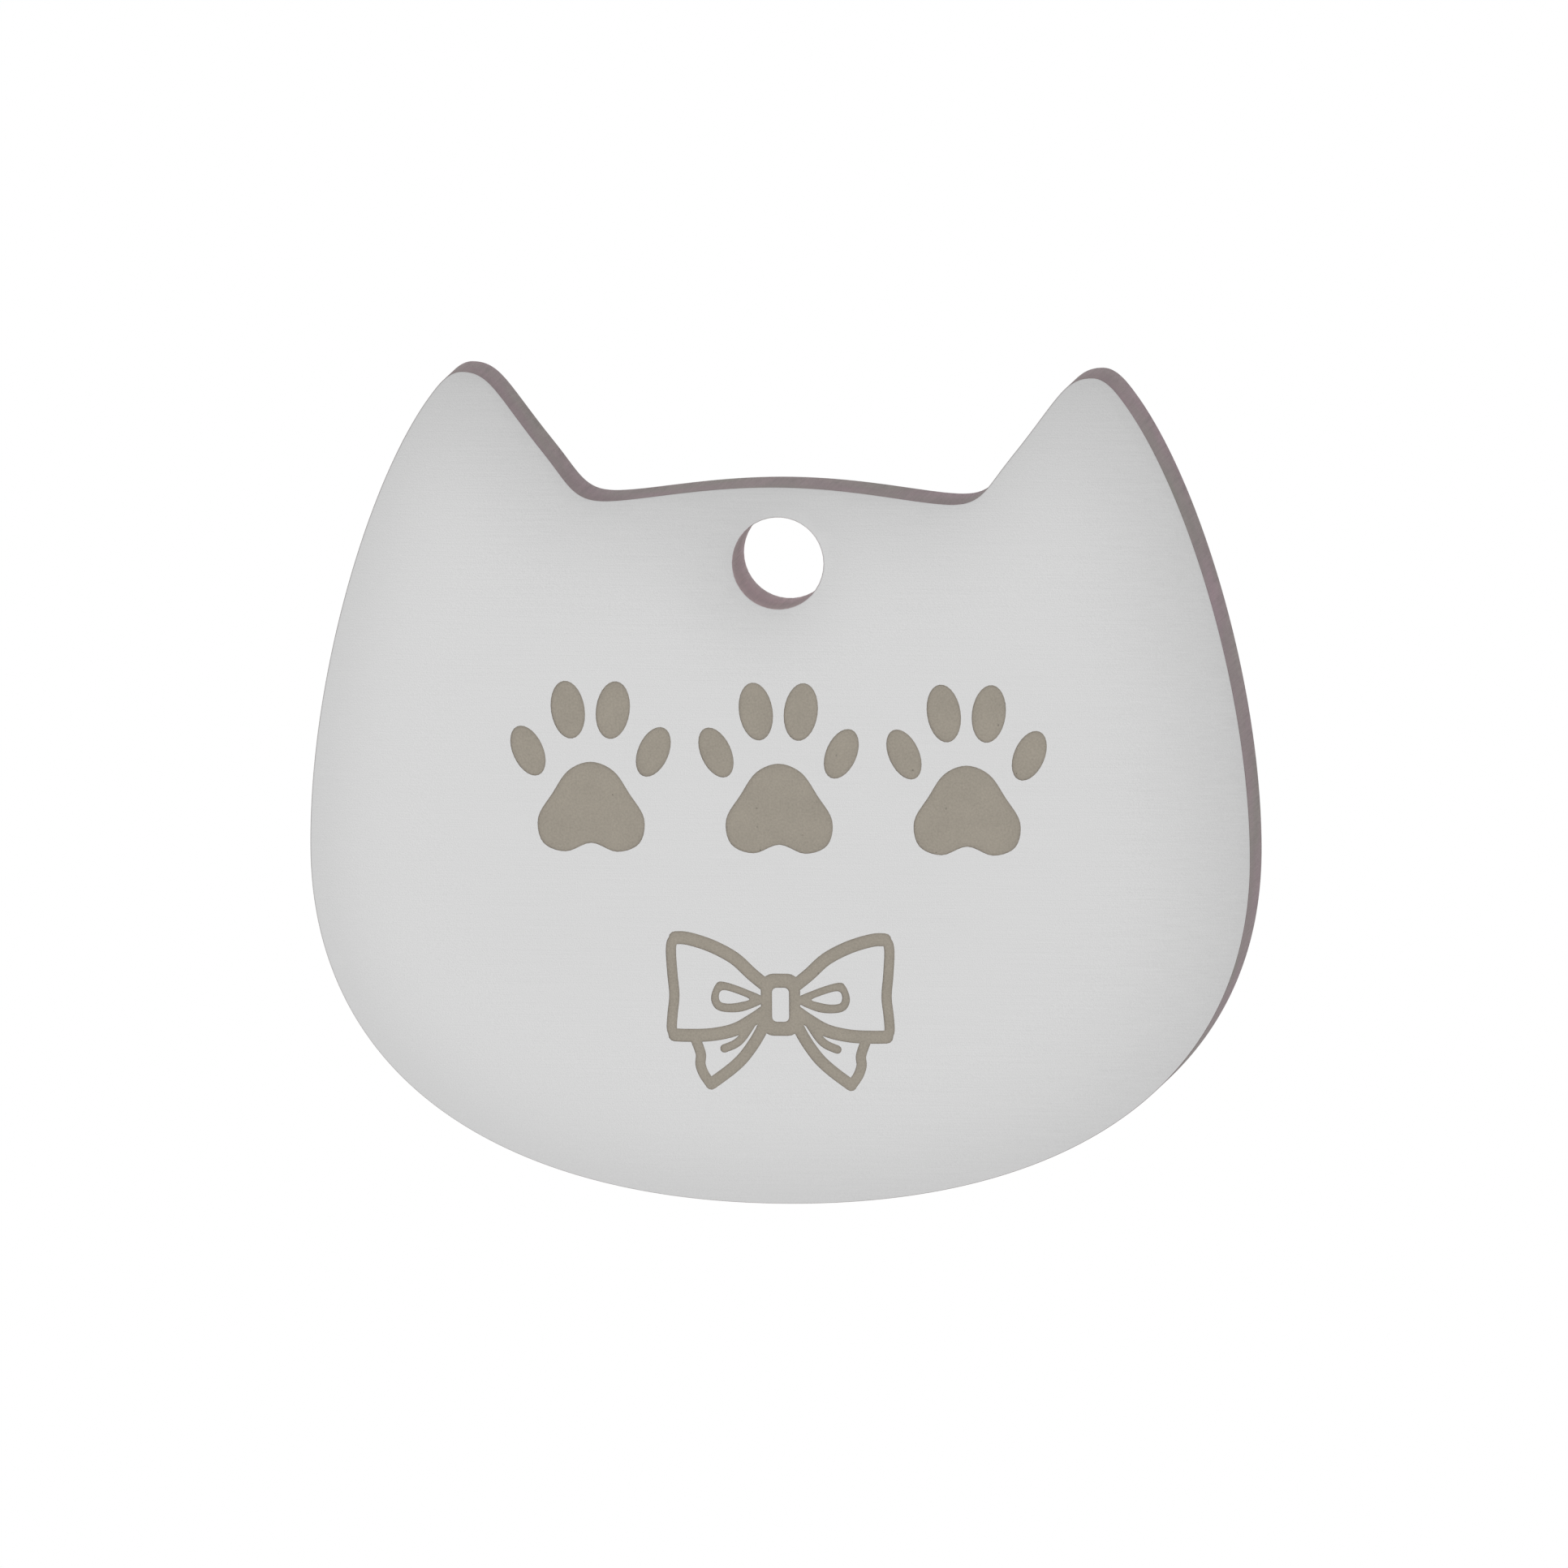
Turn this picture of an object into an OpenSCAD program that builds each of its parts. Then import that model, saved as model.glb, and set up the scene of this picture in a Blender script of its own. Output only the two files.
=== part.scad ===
// Pet id tag: a flat steel plate cut as a cat's head, with a round hole for a split ring.
// Its face is engraved with a bow under a row of paw prints, and every engraved pocket
// is filled with coloured resin that stays a little below the face.
// The plate stands upright, its face towards -Y, with the origin in the middle of the hole.

/* [Plate] */
// Width across the cheeks, the widest level
plate_w = 31; // [29:0.5:36]
// Height from the chin to the ear tips
plate_h = 27.3; // [26:0.1:30]
// Thickness of the plate
plate_t = 3; // [1.5:0.25:4]
// Height of the crown, between the ears, above the hole's centre
crown_rise = 2.5; // [2.3:0.1:3.5]
// Depth of the widest level below the hole's centre
cheek_drop = 9.5; // [8:0.25:11]

/* [Ears] */
// Distance between the two ear tips
ear_span = 20.8; // [19:0.2:22]
// Height of the ear tips above the hole's centre
ear_rise = 6.2; // [5:0.1:8]
// Distance between the lowest points on either side of the crown
valley_span = 11.5; // [9.5:0.25:13]
// Depth of those points below the crown
valley_dip = 0.5; // [0.1:0.1:1]
// Distance from an ear tip sideways to its outer shoulder
shoulder_run = 1; // [0.6:0.1:1.5]
// Distance from an ear tip down to its outer shoulder
shoulder_fall = 0.75; // [0.5:0.05:1.2]

/* [Ring hole] */
// Diameter of the hole for the split ring
hole_d = 3; // [2:0.1:3.4]

/* [Engraving] */
// Depth of the engraved pockets
engraving_depth = 0.25; // [0.15:0.05:0.5]
// Distance from the face down to the resin
fill_recess = 0.04; // [0:0.01:0.08]

/* [Paw prints] */
// Width of one paw print
paw_w = 5.3; // [4:0.1:5.6]
// Height of one paw print
paw_h = 5.8; // [4.4:0.1:6.2]
// Distance between the middles of two neighbouring paw prints
paw_pitch = 6.2; // [5.9:0.1:6.6]
// Depth of the row's middle below the hole's centre, as a share of the chin's depth
paw_drop_share = 0.32; // [0.3:0.005:0.34]

/* [Bow] */
// Width of the whole bow
bow_w = 7.6; // [6:0.1:10]
// Height of the whole bow
bow_h = 5.3; // [4.5:0.1:6.5]
// Depth of the knot's middle below the hole's centre, as a share of the chin's depth
bow_drop_share = 0.688; // [0.67:0.002:0.73]
// Width of the knot
knot_w = 1.3; // [1.1:0.05:1.6]
// Height of the knot
knot_h = 2.05; // [1.7:0.05:2.4]
// Width of the opening in the knot
knot_opening_w = 0.56; // [0.4:0.02:0.8]
// Height of the opening in the knot
knot_opening_h = 1.12; // [0.8:0.02:1.4]
// Radius of the knot's corners
knot_r = 0.42; // [0.1:0.02:0.5]
// Radius of the corners of the knot's opening
knot_opening_r = 0.16; // [0.04:0.02:0.18]
// Width of the lines along the top and bottom of its loops
heavy_line = 0.43; // [0.3:0.01:0.5]
// Width of the lines down the inner sides of its tails
tail_line = 0.39; // [0.3:0.01:0.45]
// Width of the lines down the outer sides of its loops and tails
side_line = 0.34; // [0.25:0.01:0.4]
// Width of its fold lines
fold_line = 0.28; // [0.2:0.01:0.34]

/* [Hidden] */
// The paw prints and the toes of one print, both from left to right
PAWS = ["left_paw", "middle_paw", "right_paw"];
TOES = ["outer_left_toe", "inner_left_toe", "inner_right_toe", "outer_right_toe"];
paw_numbers = [0:len(PAWS) - 1];
toe_numbers = [0:len(TOES) - 1];

// Names of the fills of a paw print's pad and of one of its toes
function pad_node(paw) = str(PAWS[paw], "_pad_fill");
function toe_node(paw, toe) = str(PAWS[paw], "_", TOES[toe], "_fill");

steel_colour = [0.84, 0.84, 0.84];
resin_colour = [0.61, 0.58, 0.54];

// Length by which every cut runs past the face that it opens
overrun = 0.5;

// Heights of the cutters that open the pockets and of the resin in them
pocket_h = engraving_depth + overrun;
resin_h = engraving_depth - fill_recess;

// Sides of the hole, and steps along a span of a mark, round a line's end, a corner and a toe
hole_sides = 96;
curve_steps = 5;
end_steps = 6;
corner_steps = 5;
toe_steps = 28;

// Depths of the chin, the paw prints and the knot below the hole's centre
chin_drop = plate_h - ear_rise;
paw_drop = paw_drop_share * chin_drop;
bow_drop = bow_drop_share * chin_drop;

// Right half of the outline, from the crown over the ear to the chin
valley = [valley_span / 2, crown_rise - valley_dip];
ear_tip = [ear_span / 2, ear_rise];
inner_flank_share = [0.42, 0.37];
inner_flank = [for (i = [0:1]) valley[i] + inner_flank_share[i] * (ear_tip[i] - valley[i])];
outline_points = [
  [0, crown_rise],
  valley,
  inner_flank,
  ear_tip,
  ear_tip + [shoulder_run, -shoulder_fall],
  [plate_w / 2, -cheek_drop],
  [0, -chin_drop]
];
// Direction of the outline at each point, in degrees from +X
outline_headings = [0, 0, 51, 0, -53, -90, -180];
// Handles after each point and before the next, as shares of the distance between the two
outline_handle_shares = [[0.45, 0.2], [0.4, 0.5], [0.65, 0.25], [0.35, 0.3], [0.22, 0.36], [0.4, 0.47]];
outline_steps = [12, 8, 12, 8, 28, 40];

// Right half of a paw's pad, from its top down to the notch below, as shares of the paw's size
pad_shares = [
  [0, 0.03], [0.14, -0.02], [0.24, -0.15], [0.33, -0.29],
  [0.3, -0.43], [0.16, -0.48], [0, -0.43]
];
// Place and radii of each toe, as shares of the paw's size, and its tilt in degrees
toe_place_shares = [[-0.39, 0.09], [-0.14, 0.325], [0.14, 0.325], [0.39, 0.09]];
toe_radius_shares = [[0.095, 0.15], [0.105, 0.165], [0.105, 0.165], [0.095, 0.15]];
toe_tilts = [24, 8, -8, -24];

// Right half of the bow: places along its lines as shares of half its width and of its height
loop_top_shares = [
  [0.13, 0.12], [0.25, 0.19], [0.4, 0.287],
  [0.6, 0.362], [0.8, 0.406], [0.91, 0.41]
];
loop_side_shares = [
  [0.916, 0.405], [0.94, 0.38], [0.948, 0.32], [0.937, 0.19],
  [0.921, 0.055], [0.937, -0.06], [0.945, -0.15], [0.926, -0.19]
];
loop_bottom_shares = [
  [0.13, -0.04], [0.24, -0.094], [0.4, -0.158],
  [0.6, -0.19], [0.8, -0.196], [0.92, -0.194]
];
fold_shares = [
  [0.19, -0.06], [0.245, -0.112], [0.3, -0.173],
  [0.35, -0.22], [0.405, -0.25], [0.49, -0.275]
];
tail_inner_shares = [
  [0.14, -0.12], [0.19, -0.19], [0.255, -0.264],
  [0.34, -0.342], [0.45, -0.413], [0.607, -0.496]
];
tail_outer_shares = [
  [0.745, -0.21], [0.71, -0.275], [0.694, -0.32],
  [0.699, -0.375], [0.67, -0.435], [0.61, -0.498]
];
// Outline of the crease inside a loop, and of the island of steel inside that
crease_shares = [
  [0.13, 0.03], [0.3, 0.095], [0.5, 0.14], [0.565, 0.118],
  [0.603, 0.035], [0.56, -0.03], [0.45, -0.05], [0.3, -0.037]
];
crease_island_shares = [
  [0.27, 0.032], [0.36, 0.062], [0.47, 0.086], [0.52, 0.08],
  [0.535, 0.045], [0.515, 0.012], [0.44, 0.004], [0.35, 0.013]
];

// Unit step in a direction given in degrees
function toward(angle) = [cos(angle), sin(angle)];

// Point at share t of the curve from a to d that leaves towards b and arrives from c
function curve_point(a, b, c, d, t) =
  pow(1 - t, 3) * a + 3 * pow(1 - t, 2) * t * b + 3 * (1 - t) * pow(t, 2) * c + pow(t, 3) * d;

// Points along that curve, its last one left out
function curve(a, b, c, d, steps) = [for (i = [0:steps - 1]) curve_point(a, b, c, d, i / steps)];

// Points from a to b of a smooth line that comes from the point before a and goes on to the point after b
function smooth_span(before, a, b, after) =
  curve(a, a + (b - before) / 6, b - (after - a) / 6, b, curve_steps);

// Smooth line through all the points of p
function smooth_line(p) =
  let (last = len(p) - 1)
  concat(
    [for (i = [0:last - 1]) each smooth_span(p[max(i - 1, 0)], p[i], p[i + 1], p[min(i + 2, last)])],
    [p[last]]
  );

// Smooth closed outline through all the points of p
function smooth_loop(p) =
  let (n = len(p))
  [for (i = [0:n - 1]) each smooth_span(p[(i + n - 1) % n], p[i], p[(i + 1) % n], p[(i + 2) % n])];

// Shares turned into places
function placed(shares, size) = [for (s = shares) [s.x * size.x, s.y * size.y]];

// Right half of an outline, followed by its mirror image back up to the first point
function with_mirror_image(half) =
  concat(half, [for (i = [len(half) - 2:-1:1]) [-half[i].x, half[i].y]]);

// Direction of a line at its point i, in degrees
function heading(line, i) =
  let (step = line[min(i + 1, len(line) - 1)] - line[max(i - 1, 0)])
  atan2(step.y, step.x);

// One side of a band of the given radius round a line: side is 1 on the left, -1 on the right
function band_side(line, radius, side) =
  [for (i = [0:len(line) - 1]) line[i] + radius * toward(heading(line, i) + side * 90)];

// Half circle that closes a band, from the first angle clockwise
function band_end(centre, radius, first_angle) =
  [for (i = [1:end_steps - 1]) centre + radius * toward(first_angle - 180 * i / end_steps)];

// Outline of a band of the given width along a line, with round ends
function band(line, width) =
  let (
    last = len(line) - 1,
    left = band_side(line, width / 2, 1),
    right = band_side(line, width / 2, -1)
  )
  concat(
    left,
    band_end(line[last], width / 2, heading(line, last) + 90),
    [for (i = [last:-1:0]) right[i]],
    band_end(line[0], width / 2, heading(line, 0) - 90)
  );

// Outline of a rectangle with round corners, centred
function rounded_rectangle(width, height, radius) =
  [for (quarter = [0:3], i = [0:corner_steps])
    let (
      angle = 90 * (quarter + i / corner_steps),
      side = [quarter == 0 || quarter == 3 ? 1 : -1, quarter < 2 ? 1 : -1]
    )
    [side.x * (width / 2 - radius), side.y * (height / 2 - radius)] + radius * toward(angle)];

// Outline of the whole plate
function plate_outline() =
  with_mirror_image(concat(
    [for (i = [0:len(outline_points) - 2])
      let (
        a = outline_points[i],
        b = outline_points[i + 1],
        reach = norm(b - a) * outline_handle_shares[i]
      )
      each curve(
        a,
        a + reach[0] * toward(outline_headings[i]),
        b - reach[1] * toward(outline_headings[i + 1]),
        b,
        outline_steps[i]
      )],
    [outline_points[len(outline_points) - 1]]
  ));

// Makes its children twice, the second time mirrored left to right
module both_sides() {
  children();
  mirror([1, 0, 0]) children();
}

// Stands a flat drawing up, with its +Z side towards -Y
module upright() {
  rotate([90, 0, 0]) children();
}

module slab(outline, height) {
  linear_extrude(height) polygon(outline);
}

module paw_pad(height) {
  slab(smooth_loop(with_mirror_image(placed(pad_shares, [paw_w, paw_h]))), height);
}

module paw_toe(toe, height) {
  place = placed(toe_place_shares, [paw_w, paw_h])[toe];
  radii = placed(toe_radius_shares, [paw_w, paw_h])[toe];
  circle_points = [for (k = [0:toe_steps - 1]) toward(360 * k / toe_steps)];
  translate(place)
    rotate(toe_tilts[toe])
      slab(placed(circle_points, radii), height);
}

// Moves its children to a paw print's place in the row
module at_paw(paw) {
  middle_paw = (len(PAWS) - 1) / 2;
  translate([(paw - middle_paw) * paw_pitch, -paw_drop]) children();
}

module bow_line(shares, width, height) {
  slab(band(smooth_line(placed(shares, [bow_w / 2, bow_h])), width), height);
}

module bow_half(height) {
  bow_line(loop_top_shares, heavy_line, height);
  bow_line(loop_bottom_shares, heavy_line, height);
  bow_line(tail_inner_shares, tail_line, height);
  bow_line(loop_side_shares, side_line, height);
  bow_line(tail_outer_shares, side_line, height);
  bow_line(fold_shares, fold_line, height);
  slab(smooth_loop(placed(crease_shares, [bow_w / 2, bow_h])), height);
}

// Islands of steel that stand inside the bow's creases and knot
module bow_islands(height) {
  both_sides() slab(smooth_loop(placed(crease_island_shares, [bow_w / 2, bow_h])), height);
  slab(rounded_rectangle(knot_opening_w, knot_opening_h, knot_opening_r), height);
}

module bow(height) {
  translate([0, -bow_drop])
    difference() {
      union() {
        both_sides() bow_half(height);
        slab(rounded_rectangle(knot_w, knot_h, knot_r), height);
      }
      translate([0, 0, -overrun]) bow_islands(height + 2 * overrun);
    }
}

// Moves its children down to the floor of the pockets
module on_pocket_floor() {
  translate([0, 0, plate_t / 2 - engraving_depth]) children();
}

module resin() {
  color(resin_colour) upright() on_pocket_floor() children();
}

module tag_plate() {
  color(steel_colour)
    upright()
      difference() {
        translate([0, 0, -plate_t / 2]) slab(plate_outline(), plate_t);
        cylinder(h = plate_t + 2 * overrun, d = hole_d, center = true, $fn = hole_sides);
        on_pocket_floor() {
          bow(pocket_h);
          for (paw = paw_numbers) {
            at_paw(paw) paw_pad(pocket_h);
            for (toe = toe_numbers) at_paw(paw) paw_toe(toe, pocket_h);
          }
        }
      }
}

module bow_fill() {
  resin() bow(resin_h);
}

module paw_pad_fill(paw) {
  resin() at_paw(paw) paw_pad(resin_h);
}

module paw_toe_fill(paw, toe) {
  resin() at_paw(paw) paw_toe(toe, resin_h);
}

tag_plate();
bow_fill();
for (paw = paw_numbers) {
  paw_pad_fill(paw);
  for (toe = toe_numbers)
    paw_toe_fill(paw, toe);
}
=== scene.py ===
"""Looks of the pet id tag: a satin steel plate with resin-filled engraving, in a white studio."""

import math
from itertools import compress

import bpy
import numpy as np
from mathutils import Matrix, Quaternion, Vector
from mathutils.geometry import delaunay_2d_cdt


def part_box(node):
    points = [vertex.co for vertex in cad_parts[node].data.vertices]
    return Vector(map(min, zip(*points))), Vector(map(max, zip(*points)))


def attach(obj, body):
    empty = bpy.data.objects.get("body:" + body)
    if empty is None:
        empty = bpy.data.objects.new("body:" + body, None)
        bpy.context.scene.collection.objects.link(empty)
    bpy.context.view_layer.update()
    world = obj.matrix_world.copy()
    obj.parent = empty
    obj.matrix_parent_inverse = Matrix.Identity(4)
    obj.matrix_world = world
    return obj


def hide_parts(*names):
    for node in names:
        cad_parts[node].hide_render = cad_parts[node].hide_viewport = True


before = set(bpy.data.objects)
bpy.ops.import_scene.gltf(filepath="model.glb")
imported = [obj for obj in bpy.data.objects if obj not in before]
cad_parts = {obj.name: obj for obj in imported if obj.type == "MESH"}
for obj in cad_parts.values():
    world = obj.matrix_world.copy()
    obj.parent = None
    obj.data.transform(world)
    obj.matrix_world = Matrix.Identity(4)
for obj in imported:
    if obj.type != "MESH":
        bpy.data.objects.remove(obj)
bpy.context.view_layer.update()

# The scene is in metres, but the plate's mesh is worked out in millimetres
MM = 0.001

# The plate's mesh, in millimetres
EDGE_BREAK = 0.05  # radius to which tumbling has rounded the cut edges
BREAK_STEPS = 4  # spans across each rounded edge
FRONT_FALL = 0.4  # twice the depth by which the front has fallen at a straight edge
BACK_FALL = 0.05  # the same for the back
EDGE_REACHES = (2.1, 1.5)  # how far the outer edge and the hole are felt
GRID = 0.4  # spacing of the points between the outlines
GRID_CLEARANCE = 0.2  # least distance from those points to an outline
FLAT_TOLERANCE = 0.005  # most that a corner of a flat face may be off its level
OUTLINE_DECIMALS = 5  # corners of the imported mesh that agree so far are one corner
SHARP_ANGLE = math.radians(35)  # edges bent more than this aren't shaded smoothly

# Numbers of the plate's materials
FACE = 0
CUT_WALL = 1
HOLE_WALL = 2

# The triangulation fills the convex hull of its points, and merges points that are this near
CONVEX_HULL = 0
MERGE_DISTANCE = 1e-7

# Name under which the mesh keeps each point's nearness to an edge, which darkens the face's colour
# there as painted shade and makes it rougher
RIM_SHADE_AND_DULLNESS = "rim_shade_and_dullness"

# Each look has a colour as linear red, green and blue, and noises with so many features to a
# millimetre along X, Y and Z. The weights say how much each pattern adds to the tone, the roughness
# and the height of the surface, and the relief depth is in millimetres. The oxide shift is how far
# the oxide's pattern moves a wall's colour from brown to violet
SATIN_STEEL = {
    "colour": (0.587, 0.587, 0.587),
    "noises": {
        "grain": {"per_mm": (0.3, 22.0, 22.0), "detail": 3.0},
        "dimples": {"per_mm": (24.0, 24.0, 24.0), "detail": 3.0},
        "clouding": {"per_mm": (0.18, 0.18, 0.18), "detail": 2.0},
    },
    # The rim weight darkens the face's colour towards its edges and round the hole: painted shade, on
    # top of the real shading where the face falls away
    "tone_weights": {"grain": 0.14, "dimples": 0.2, "clouding": 0.04, "rim_shade_and_dullness": -0.2},
    "roughness": 0.4,
    "roughness_weights": {"grain": 0.2, "dimples": 0.2, "clouding": 0.06, "rim_shade_and_dullness": 0.1},
    "height_weights": {"dimples": 1.0, "grain": 0.6},
    "relief_depth": 0.005,
    "metallic": 1.0,
    "specular": 0.5,
}
CUT_STEEL = {
    # The walls' dark brown-grey is painted shade: a darker copy of the face's steel, for the darker
    # surroundings that the walls reflect
    "colour": (0.2325, 0.1915, 0.192),
    "oxide_shift": (0.055, -0.028, 0.034),
    "noises": {
        "oxide": {"per_mm": (0.4, 0.4, 0.4), "detail": 2.0},
        "streaks": {"per_mm": (11.0, 0.2, 11.0), "detail": 4.0},
        "rough_streaks": {"per_mm": (7.0, 0.6, 7.0), "detail": 3.0},
        "tint": {"per_mm": (0.7, 0.7, 0.7), "detail": 3.0},
        "spatter": {"per_mm": (22.0, 22.0, 22.0), "detail": 3.0},
    },
    "tone_weights": {"streaks": 0.5, "rough_streaks": 0.5, "tint": 0.25, "spatter": 0.3},
    "roughness": 0.7,
    "roughness_weights": {"streaks": 0.3, "spatter": 0.2},
    "height_weights": {"streaks": 1.0, "rough_streaks": 1.5, "spatter": 0.3},
    "relief_depth": 0.025,
    "metallic": 0.3,
    "specular": 0.2,
}
# The hole's wall: the cut steel painted lighter, partly for rubbing by a ring and partly as painted
# light that lifts the shade inside the hole
WORN_AND_PAINTED_LIGHT_STEEL = dict(CUT_STEEL, colour=(0.43, 0.345, 0.352))
RESIN = {
    "colour": (0.35, 0.315, 0.262),
    "noises": {
        "mottle": {"per_mm": (1.2, 1.2, 1.2), "detail": 3.0},
        "grit": {"per_mm": (15.0, 15.0, 15.0), "detail": 4.0},
    },
    # The pinholes' darkening of the tone is painted shade inside them
    "tone_weights": {"mottle": 0.2, "grit": 0.5, "pinholes": -0.18},
    "roughness": 0.62,
    "roughness_weights": {"grit": 0.4, "mottle": 0.15},
    "height_weights": {"grit": 1.0, "pinholes": -0.8, "mottle": 0.5},
    "relief_depth": 0.02,
    "metallic": 0.0,
    "specular": 0.3,
}
PINHOLES_PER_MM = 1.8
PINHOLE_RADIUS_SHARE = 0.06  # of the pinholes' spacing

# The floor, in metres, and its paper
FLOOR_LEVEL = -0.3
FLOOR_RADIUS = 1.2
FLOOR_SIDES = 96
FLOOR_COLOUR = (0.82, 0.82, 0.82)
FLOOR_ROUGHNESS = 0.9
FLOOR_GLOW = 0.4  # lifts the paper to white where the camera sees it
FIBRES_PER_MM = (0.4, 0.4, 0.4)
FIBRES_DETAIL = 2.0
FIBRES_WEIGHT = 0.02

# The white surroundings: 1 is white, and as a light they are a little weaker than they look
WHITE = (1, 1, 1, 1)
WORLD_LIGHT = 0.95
WORLD_SEEN = 1.0

# The point, in metres, that the camera and the key lamp are aimed at
AIM = Vector((-0.04, 0, -7.44)) * MM

# The key lamp, in front of the tag, on its left and a little below it, in metres and watts
LAMP_AZIMUTH = math.radians(-21.5)
LAMP_ELEVATION = math.radians(-8)
LAMP_DISTANCE = 2.4
LAMP_WIDTH = 0.6
LAMP_POWER = 1.8

# The camera, in metres
CAMERA_AZIMUTH = math.radians(7.96)
CAMERA_ELEVATION = math.radians(7.4)
CAMERA_ROLL = math.radians(-0.44)
CAMERA_DISTANCE = 0.4
VIEW_WIDTH = 51.22 * MM
NEAREST_SEEN = 0.01
FARTHEST_SEEN = 10.0


def flat_outlines(mesh, level):
    """Outlines of a mesh's faces at y = level, as arrays of (x, z) with the material on their left."""
    spans = {}  # a dictionary keeps their order, so that each run gives the same mesh
    for polygon in mesh.polygons:
        corners = [mesh.vertices[i].co / MM for i in polygon.vertices]
        if max(abs(corner.y - level) for corner in corners) > FLAT_TOLERANCE:
            continue
        points = [tuple(round(value, OUTLINE_DECIMALS) for value in corner.xz) for corner in corners]
        for start, end in zip(points, points[1:] + points[:1]):
            # A span between two faces of the mesh isn't part of an outline
            if (end, start) in spans:
                del spans[end, start]
            else:
                spans[start, end] = True
    following = dict(spans.keys())
    outlines = []
    while following:
        first, point = following.popitem()
        outline = [first]
        while point != first:
            outline.append(point)
            point = following.pop(point)
        outlines.append(np.array(outline))
    return outlines


def size_of(outline):
    """Length of the diagonal of an outline's box."""
    return np.linalg.norm(np.ptp(outline, axis=0))


def refined(outline):
    """An outline with a point added in each span, on the cubic through the four nearest points."""
    before = np.roll(outline, 1, 0)
    after = np.roll(outline, -1, 0)
    beyond = np.roll(outline, -2, 0)
    middles = (9 * (outline + after) - before - beyond) / 16
    return np.stack([outline, middles], 1).reshape(-1, 2)


def moved_left(outline, distance):
    """An outline moved to its left, which is into the material."""
    along = np.roll(outline, -1, 0) - np.roll(outline, 1, 0)
    along /= np.linalg.norm(along, axis=1, keepdims=True)
    return outline + distance * np.stack([-along[:, 1], along[:, 0]], 1)


def cross(a, b):
    """Cross products of flat vectors."""
    return a[..., 0] * b[..., 1] - a[..., 1] * b[..., 0]


def odd_inside(points, outlines):
    """Whether each point lies inside an odd number of outlines."""
    crossings = np.zeros(len(points), int)
    for outline in outlines:
        span = np.roll(outline, -1, 0) - outline
        offset = points[:, None] - outline[None]
        rises = span[:, 1] > 0
        passes = (offset[..., 1] >= 0) != (offset[..., 1] >= span[:, 1])
        crossings += (passes & ((cross(span, offset) > 0) == rises)).sum(1)
    return crossings % 2 == 1


def edge_nearness(points, edges):
    """Share of a soft disc round each point that lies off the material.

    The disc fades out with distance like a bell curve, as wide as the reach of the edge that it meets.
    """
    turns = np.zeros(len(points))
    for edge, reach in zip(edges, EDGE_REACHES):
        start = edge[None] - points[:, None]
        end = np.roll(start, -1, 1)
        angle = np.arctan2(cross(start, end), (start * end).sum(2))
        distance = np.linalg.norm((start + end) / 2, axis=2)
        # Seen from the point, the spans turn once around it, and near ones count for less
        turns += (angle * (1 - np.exp(-((distance / reach) ** 2) / 2))).sum(1)
    return 1 - turns / (2 * math.pi)


def filling_grid(outlines):
    """Points on the material between the outlines, in a grid of equal triangles."""
    reach = np.abs(np.concatenate(outlines)).max()
    xs = np.arange(-reach, reach, GRID)
    zs = np.arange(-reach, reach, GRID * math.sqrt(3) / 2)
    points = np.array([(x + GRID / 2 * (row % 2), z) for row, z in enumerate(zs) for x in xs])
    points = points[odd_inside(points, outlines)]
    for outline in outlines:
        nearest = np.linalg.norm(points[:, None] - outline[None], axis=2).min(1)
        points = points[nearest > GRID_CLEARANCE]
    return points


def renumbered(faces, numbers):
    """Faces whose corners are looked up in numbers."""
    return [tuple(numbers[corner] for corner in face) for face in faces]


def triangulated(outlines, extra_points):
    """The points of the outlines and the extra points, and the triangles between them all."""
    points = [Vector(point) for part in (*outlines, extra_points) for point in part]
    spans = []
    for outline in outlines:
        first = len(spans)
        count = len(outline)
        spans += [(first + i, first + (i + 1) % count) for i in range(count)]
    _, _, triangles, sources, _, _ = delaunay_2d_cdt(points, spans, [], CONVEX_HULL, MERGE_DISTANCE)
    numbers = [source[0] for source in sources]
    return np.array(points), renumbered(triangles, numbers)


def centres_of(points, faces):
    return np.array([points[list(face)].mean(0) for face in faces])


def split(numbers, outlines):
    """Cuts the outlines' vertex numbers, which come first in numbers, into a ring for each outline."""
    rings = []
    start = 0
    for outline in outlines:
        end = start + len(outline)
        rings.append(numbers[start:end])
        start = end
    return rings


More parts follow.
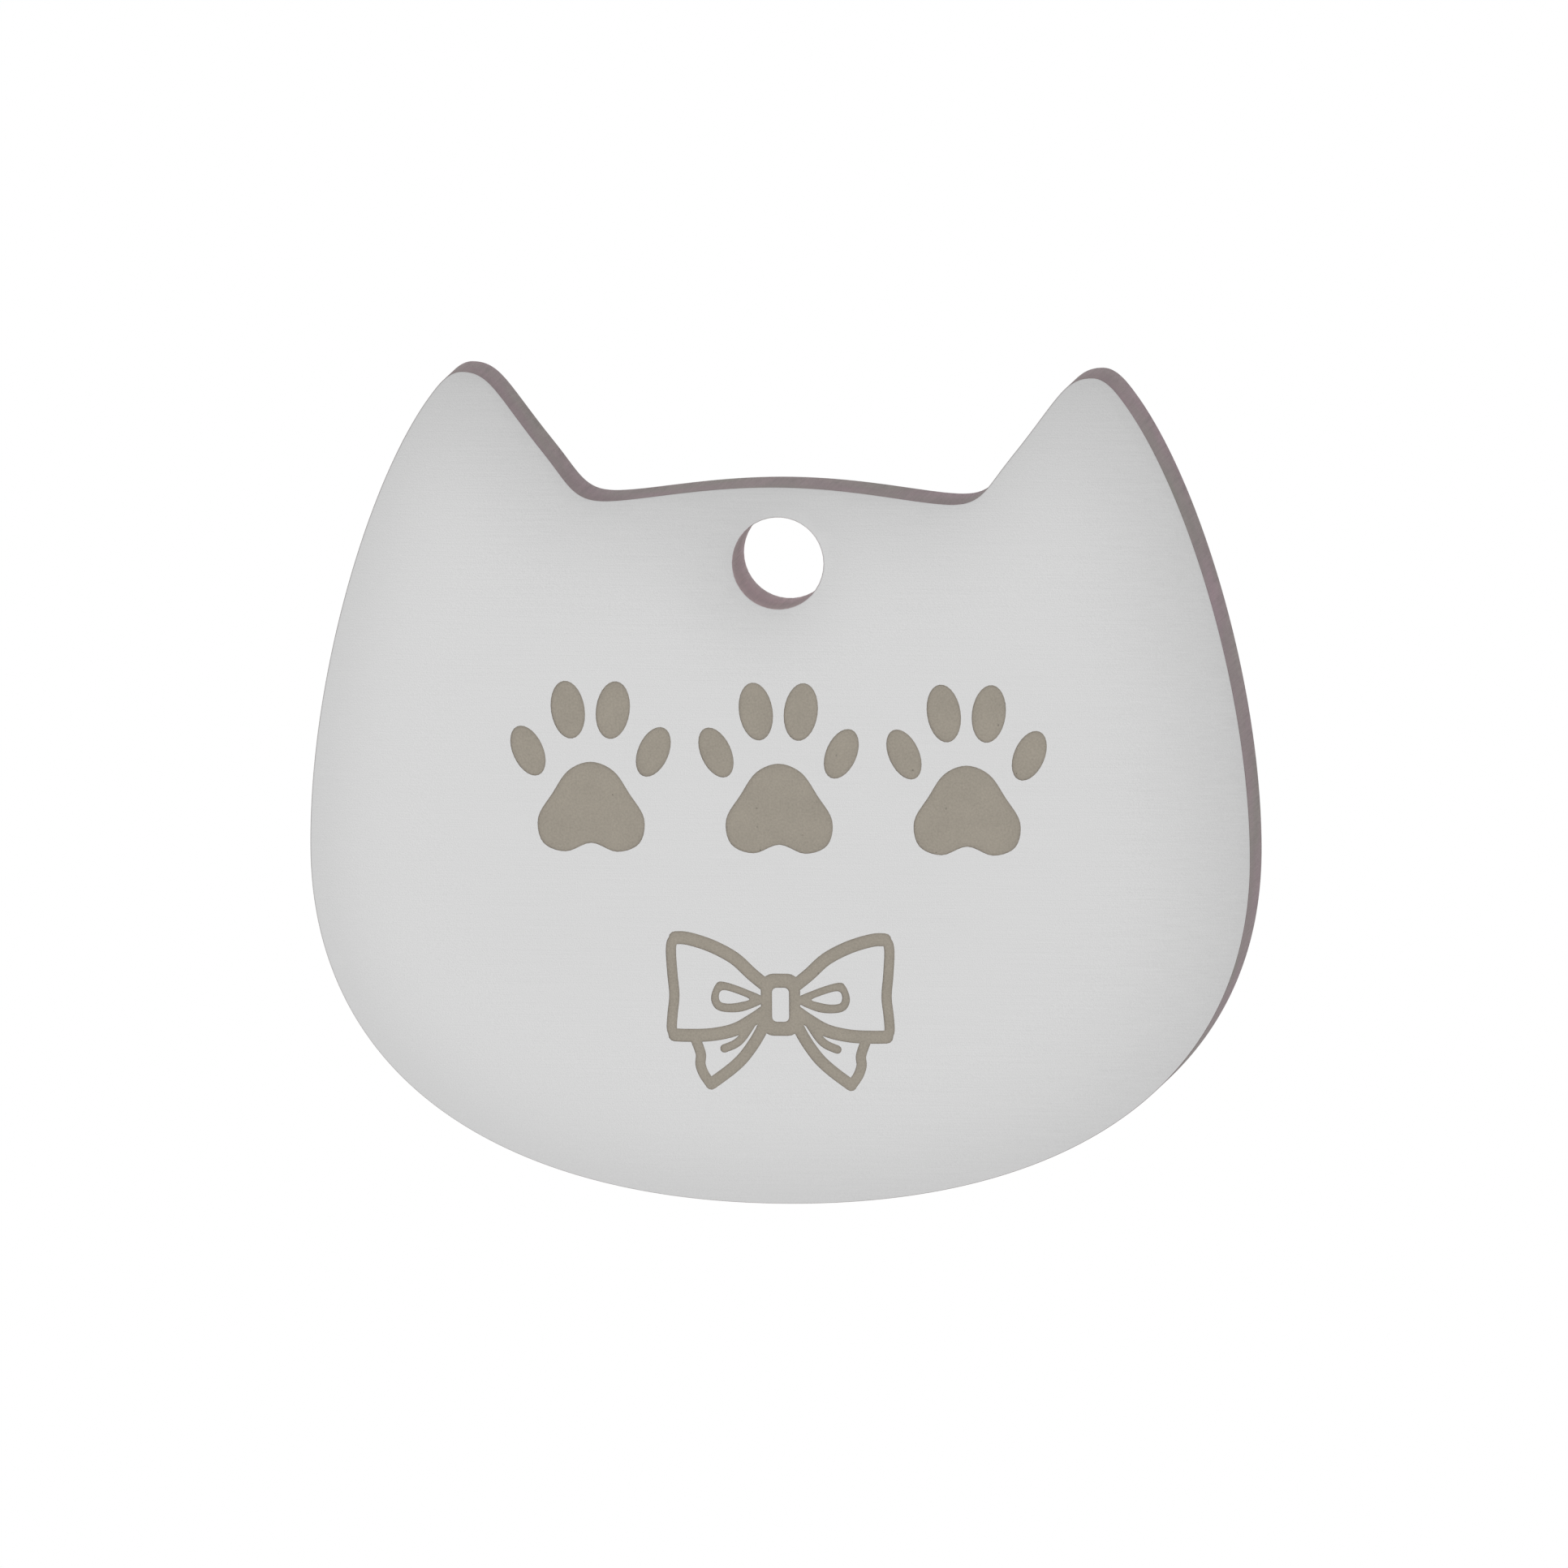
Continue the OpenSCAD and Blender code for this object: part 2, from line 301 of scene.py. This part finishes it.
class Shell:
    """Gathers the vertices and faces of a closed mesh."""

    def __init__(self):
        self.vertices = []
        self.faces = []
        self.materials = []

    def add_points(self, points, levels):
        """Adds vertices at (x, z) points and y levels, and returns their numbers."""
        first = len(self.vertices)
        levels = np.broadcast_to(levels, len(points))
        self.vertices += [(x, y, z) for (x, z), y in zip(points, levels)]
        return list(range(first, len(self.vertices)))

    def add_copies(self, ring, level):
        """Adds copies of a ring's vertices at another y level, and returns their numbers."""
        points = [(x, z) for x, _, z in (self.vertices[number] for number in ring)]
        return self.add_points(points, level)

    def levels_of(self, ring):
        """The y levels of a ring's vertices."""
        return np.array([self.vertices[number][1] for number in ring])

    def add_faces(self, faces, material):
        self.faces += faces
        self.materials += [material] * len(faces)

    def add_strip(self, front, back, material):
        """Joins two rings of vertices that run with the material on their left."""
        pairs = list(zip(front, back))
        quads = [(b[0], a[0], a[1], b[1]) for a, b in zip(pairs, pairs[1:] + pairs[:1])]
        self.add_faces(quads, material)

    def add_rounding(self, edge, face_levels, depth, turns):
        """Adds the rings of a rounded edge, with turn 0 at the face and a quarter turn at the wall."""
        rings = []
        for turn in turns:
            points = moved_left(edge, EDGE_BREAK * (1 - math.sin(turn)))
            rings.append(self.add_points(points, face_levels + depth * (1 - math.cos(turn))))
        return rings

    def add_wall(self, edge, front_ring, back_ring, material):
        """Adds the straight wall at an edge, and its rounded borders with the front and the back."""
        turns = [math.pi / 2 * step / BREAK_STEPS for step in range(1, BREAK_STEPS + 1)]
        rings = [front_ring]
        rings += self.add_rounding(edge, self.levels_of(front_ring), EDGE_BREAK, turns)
        rings += self.add_rounding(edge, self.levels_of(back_ring), -EDGE_BREAK, turns[::-1])
        rings.append(back_ring)
        for number, (ring, following) in enumerate(zip(rings, rings[1:])):
            # Half of each rounded border is finished like the face beside it
            near_face = min(number, 2 * BREAK_STEPS - number) < BREAK_STEPS / 2
            self.add_strip(ring, following, FACE if near_face else material)


def plate_outlines(cad_mesh, front):
    """The plate's edges, which are its outer outline and the hole's, and the outlines of its marks."""
    outlines = flat_outlines(cad_mesh, front)
    outlines.sort(key=size_of, reverse=True)
    outer, *inner = outlines
    hole = min(inner, key=lambda outline: np.linalg.norm(outline.mean(0)))
    marks = [outline for outline in inner if outline is not hole]
    return [refined(outer), hole], marks


def broken(edges):
    """The borders of a face whose edges are broken."""
    return [moved_left(edge, EDGE_BREAK) for edge in edges]


def add_front(shell, edges, marks, level, pocket_floor):
    """Adds the front face with its open pockets, and returns the face's rings at the edges."""
    borders = broken(edges)
    outlines = borders + marks
    points, triangles = triangulated(outlines, filling_grid(outlines))
    numbers = shell.add_points(points, level + FRONT_FALL * edge_nearness(points, edges))
    faces = renumbered(triangles, numbers)
    centres = centres_of(points, triangles)
    on_steel = odd_inside(centres, outlines)
    in_pocket = ~on_steel & odd_inside(centres, borders)
    shell.add_faces(list(compress(faces, on_steel)), FACE)

    rings = split(numbers, outlines)
    mark_rings = rings[len(edges):]
    floor_rings = [shell.add_copies(ring, pocket_floor) for ring in mark_rings]
    below = {}
    for ring, floor_ring in zip(mark_rings, floor_rings):
        below.update(zip(ring, floor_ring))
    shell.add_faces(renumbered(compress(faces, in_pocket), below), CUT_WALL)
    for ring, floor_ring in zip(mark_rings, floor_rings):
        shell.add_strip(ring, floor_ring, CUT_WALL)
    return rings[:len(edges)]


def add_back(shell, edges, level):
    """Adds the back face, and returns its rings at the edges."""
    borders = broken(edges)
    points, triangles = triangulated(borders, filling_grid(borders))
    numbers = shell.add_points(points, level - BACK_FALL * edge_nearness(points, edges))
    faces = [face[::-1] for face in renumbered(triangles, numbers)]
    on_steel = odd_inside(centres_of(points, triangles), borders)
    shell.add_faces(list(compress(faces, on_steel)), FACE)
    return split(numbers, borders)


def plate_mesh(cad_mesh, front, back, pocket_floor):
    """The plate, with its faces falling away softly towards broken edges, and open engraved pockets."""
    edges, marks = plate_outlines(cad_mesh, front)
    shell = Shell()
    front_rings = add_front(shell, edges, marks, front, pocket_floor)
    back_rings = add_back(shell, edges, back)
    walls = zip(edges, front_rings, back_rings, (CUT_WALL, HOLE_WALL))
    for edge, front_ring, back_ring, material in walls:
        shell.add_wall(edge, front_ring, back_ring, material)

    vertices = np.array(shell.vertices)
    mesh = bpy.data.meshes.new("steel_plate")
    mesh.from_pydata(vertices * MM, [], shell.faces)
    mesh.polygons.foreach_set("material_index", shell.materials)
    mesh.shade_smooth()
    mesh.set_sharp_from_angle(angle=SHARP_ANGLE)
    rim_shade_and_dullness = mesh.attributes.new(RIM_SHADE_AND_DULLNESS, "FLOAT", "POINT")
    rim_shade_and_dullness.data.foreach_set("value", edge_nearness(vertices[:, [0, 2]], edges))
    mesh.validate()
    return mesh


def new_material(name):
    """A material with a Principled shader, and its node tree."""
    material = bpy.data.materials.new(name)
    material.use_nodes = True
    return material, material.node_tree


def feed(tree, inputs, values):
    """Links each named input to a node's output, or sets it to a plain value."""
    for name, value in values.items():
        if isinstance(value, bpy.types.NodeSocket):
            tree.links.new(value, inputs[name])
        else:
            inputs[name].default_value = value


def add_node(tree, kind, values, **settings):
    """Adds a node, sets it up and feeds its inputs."""
    node = tree.nodes.new(kind)
    for name, value in settings.items():
        setattr(node, name, value)
    feed(tree, node.inputs, values)
    return node


def calculate(tree, operation, *values):
    return add_node(tree, "ShaderNodeMath", dict(enumerate(values)), operation=operation).outputs[0]


def object_place(tree):
    """The place on the object in metres."""
    return add_node(tree, "ShaderNodeTexCoord", {}).outputs["Object"]


def stretched_place(tree, per_mm):
    """The place on the object in millimetres, times the number along each axis."""
    factors = [number / MM for number in per_mm]
    values = {0: object_place(tree), 1: factors}
    return add_node(tree, "ShaderNodeVectorMath", values, operation="MULTIPLY").outputs[0]


def noise(tree, per_mm, detail):
    """Noise from about -0.5 to 0.5, with so many features to a millimetre along each axis."""
    values = {"Vector": stretched_place(tree, per_mm), "Scale": 1.0, "Detail": detail}
    pattern = add_node(tree, "ShaderNodeTexNoise", values).outputs[0]
    return calculate(tree, "SUBTRACT", pattern, 0.5)


def step_up(tree, value, start, end):
    """0 where the value is below start, 1 where it is above end, and smooth in between."""
    values = {"Value": value, "From Min": start, "From Max": end}
    return add_node(tree, "ShaderNodeMapRange", values, interpolation_type="SMOOTHSTEP").outputs[0]


def pinholes(tree, per_mm, radius_share):
    """1 in round pinholes that fade out over the outer half of their radius, and 0 elsewhere."""
    values = {"Vector": stretched_place(tree, [per_mm] * 3), "Scale": 1.0}
    distance = add_node(tree, "ShaderNodeTexVoronoi", values).outputs["Distance"]
    outside = step_up(tree, distance, radius_share / 2, radius_share)
    return calculate(tree, "SUBTRACT", 1.0, outside)


def rim_nearness(tree):
    """The nearness to an edge that the mesh keeps at each point."""
    return add_node(tree, "ShaderNodeAttribute", {}, attribute_name=RIM_SHADE_AND_DULLNESS).outputs["Fac"]


def noises_of(tree, look):
    """The noises of a look by name."""
    return {name: noise(tree, **settings) for name, settings in look["noises"].items()}


def weighted_sum(tree, start, weights, patterns):
    """start plus each named pattern times its weight."""
    total = start
    for name, weight in weights.items():
        total = calculate(tree, "MULTIPLY_ADD", patterns[name], weight, total)
    return total


def colour_times(tree, colour, factor):
    values = {0: colour, "Scale": factor}
    return add_node(tree, "ShaderNodeVectorMath", values, operation="SCALE").outputs[0]


def shifted_colour(tree, colour, shift, factor):
    """A colour plus the shift times the factor."""
    values = {0: factor, 1: shift, 2: colour}
    return add_node(tree, "ShaderNodeVectorMath", values, operation="MULTIPLY_ADD").outputs[0]


def feed_shader(tree, values):
    feed(tree, tree.nodes["Principled BSDF"].inputs, values)


def dress(tree, look, patterns):
    """Gives the tree's shader a look, with the patterns in its tone, roughness and height."""
    tone = weighted_sum(tree, 1.0, look["tone_weights"], patterns)
    roughness = weighted_sum(tree, look["roughness"], look["roughness_weights"], patterns)
    height = weighted_sum(tree, 0.0, look["height_weights"], patterns)
    relief = add_node(tree, "ShaderNodeBump", {"Height": height, "Distance": look["relief_depth"] * MM})
    feed_shader(tree, {
        "Base Color": colour_times(tree, look["colour"], tone),
        "Roughness": roughness,
        "Normal": relief.outputs[0],
        "Metallic": look["metallic"],
        "Specular IOR Level": look["specular"],
    })


def satin_steel():
    """The faces: blasted matt over a grain brushed along the width, rougher towards the edges, and
    darkened there by painted shade.
    """
    material, tree = new_material("satin_steel")
    patterns = noises_of(tree, SATIN_STEEL)
    # The nearness to an edge, used below as painted shade in the tone and as roughness
    patterns["rim_shade_and_dullness"] = rim_nearness(tree)
    dress(tree, SATIN_STEEL, patterns)
    return material


def cut_steel(name, look, front, back):
    """The laser-cut walls: dull, tinted unevenly by oxide, and streaked more roughly at the back."""
    material, tree = new_material(name)
    patterns = noises_of(tree, look)
    across = add_node(tree, "ShaderNodeSeparateXYZ", {"Vector": object_place(tree)}).outputs["Y"]
    towards_back = step_up(tree, across, front, back)
    patterns["rough_streaks"] = calculate(tree, "MULTIPLY", patterns["rough_streaks"], towards_back)
    # The look's colour is painted shade on the outer walls and painted light on the hole's wall; the
    # oxide pattern only varies its tint
    colour = shifted_colour(tree, look["colour"], look["oxide_shift"], patterns["oxide"])
    dress(tree, dict(look, colour=colour), patterns)
    return material


def resin():
    """The colour in the engraving: matt, mottled and gritty, with a few pinholes left by air, darkened
    by painted shade.
    """
    material, tree = new_material("resin")
    patterns = noises_of(tree, RESIN)
    patterns["pinholes"] = pinholes(tree, PINHOLES_PER_MM, PINHOLE_RADIUS_SHARE)
    dress(tree, RESIN, patterns)
    return material


def seen_ray(tree):
    """1 for what the camera sees, directly, in a reflection or through something, and otherwise 0."""
    path = add_node(tree, "ShaderNodeLightPath", {}).outputs
    glossy = calculate(tree, "MAXIMUM", path["Is Camera Ray"], path["Is Glossy Ray"])
    return calculate(tree, "MAXIMUM", glossy, path["Is Transmission Ray"])


def floor_paper():
    """Pale, matt paper that looks white where no shadow falls on it."""
    material, tree = new_material("floor_paper")
    fibres = noise(tree, FIBRES_PER_MM, FIBRES_DETAIL)
    tone = calculate(tree, "MULTIPLY_ADD", fibres, FIBRES_WEIGHT, 1.0)
    feed_shader(tree, {
        "Base Color": colour_times(tree, FLOOR_COLOUR, tone),
        "Roughness": FLOOR_ROUGHNESS,
        "Specular IOR Level": 0.0,
        "Emission Color": WHITE,
        "Emission Strength": calculate(tree, "MULTIPLY", seen_ray(tree), FLOOR_GLOW),
    })
    return material


def add_object(name, data):
    made = bpy.data.objects.new(name, data)
    bpy.context.scene.collection.objects.link(made)
    return made


def add_plate():
    """The plate that stands for the CAD's, with the same outlines."""
    low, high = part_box("tag_plate")
    pocket_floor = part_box("bow_fill")[1].y
    mesh = plate_mesh(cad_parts["tag_plate"].data, low.y / MM, high.y / MM, pocket_floor / MM)
    plate = add_object("steel_plate", mesh)
    # In the order of FACE, CUT_WALL and HOLE_WALL
    mesh.materials.append(satin_steel())
    mesh.materials.append(cut_steel("cut_steel", CUT_STEEL, low.y, high.y))
    # The hole's wall gets a lighter copy of the cut steel: painted light against the shade in the hole
    mesh.materials.append(cut_steel("worn_and_painted_light_steel", WORN_AND_PAINTED_LIGHT_STEEL, low.y, high.y))
    normals = plate.modifiers.new("even_normals", "WEIGHTED_NORMAL")
    normals.keep_sharp = True
    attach(plate, "root")
    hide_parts("tag_plate")


def colour_fills():
    """Gives every fill the resin."""
    filling = resin()
    for name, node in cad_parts.items():
        if name.endswith("_fill"):
            node.data.materials.clear()
            node.data.materials.append(filling)


def add_floor():
    """A wide round sheet of paper under the tag."""
    border = []
    for side in range(FLOOR_SIDES):
        turn = 2 * math.pi * side / FLOOR_SIDES
        border.append((FLOOR_RADIUS * math.cos(turn), FLOOR_RADIUS * math.sin(turn), FLOOR_LEVEL))
    mesh = bpy.data.meshes.new("floor")
    mesh.from_pydata(border, [], [range(FLOOR_SIDES)])
    mesh.materials.append(floor_paper())
    add_object("floor", mesh)


def add_world():
    """White all round."""
    world = bpy.data.worlds.new("studio")
    world.use_nodes = True
    tree = world.node_tree
    extra = WORLD_SEEN - WORLD_LIGHT
    strength = calculate(tree, "MULTIPLY_ADD", seen_ray(tree), extra, WORLD_LIGHT)
    feed(tree, tree.nodes["Background"].inputs, {"Color": WHITE, "Strength": strength})
    bpy.context.scene.world = world


def aim(made, azimuth, elevation, distance, roll=0.0):
    """Places a lamp or camera at a distance from the aim, and turns it there.

    Azimuth 0 is straight in front of the tag, and 90 degrees is on its right.
    """
    level = math.cos(elevation)
    back = Vector((math.sin(azimuth) * level, -math.cos(azimuth) * level, math.sin(elevation)))
    turn = back.to_track_quat("Z", "Y") @ Quaternion((0, 0, 1), roll)
    made.location = AIM + back * distance
    made.rotation_euler = turn.to_euler()


def add_key_lamp():
    lamp = bpy.data.lights.new("key_lamp", "AREA")
    lamp.size = LAMP_WIDTH
    lamp.energy = LAMP_POWER
    aim(add_object("key_lamp", lamp), LAMP_AZIMUTH, LAMP_ELEVATION, LAMP_DISTANCE)


def add_camera():
    camera = bpy.data.cameras.new("camera")
    camera.type = "ORTHO"
    camera.ortho_scale = VIEW_WIDTH
    camera.clip_start = NEAREST_SEEN
    camera.clip_end = FARTHEST_SEEN
    made = add_object("camera", camera)
    aim(made, CAMERA_AZIMUTH, CAMERA_ELEVATION, CAMERA_DISTANCE, CAMERA_ROLL)
    bpy.context.scene.camera = made


add_plate()
colour_fills()
add_floor()
add_world()
add_key_lamp()
add_camera()
bpy.context.scene.view_settings.view_transform = "Standard"
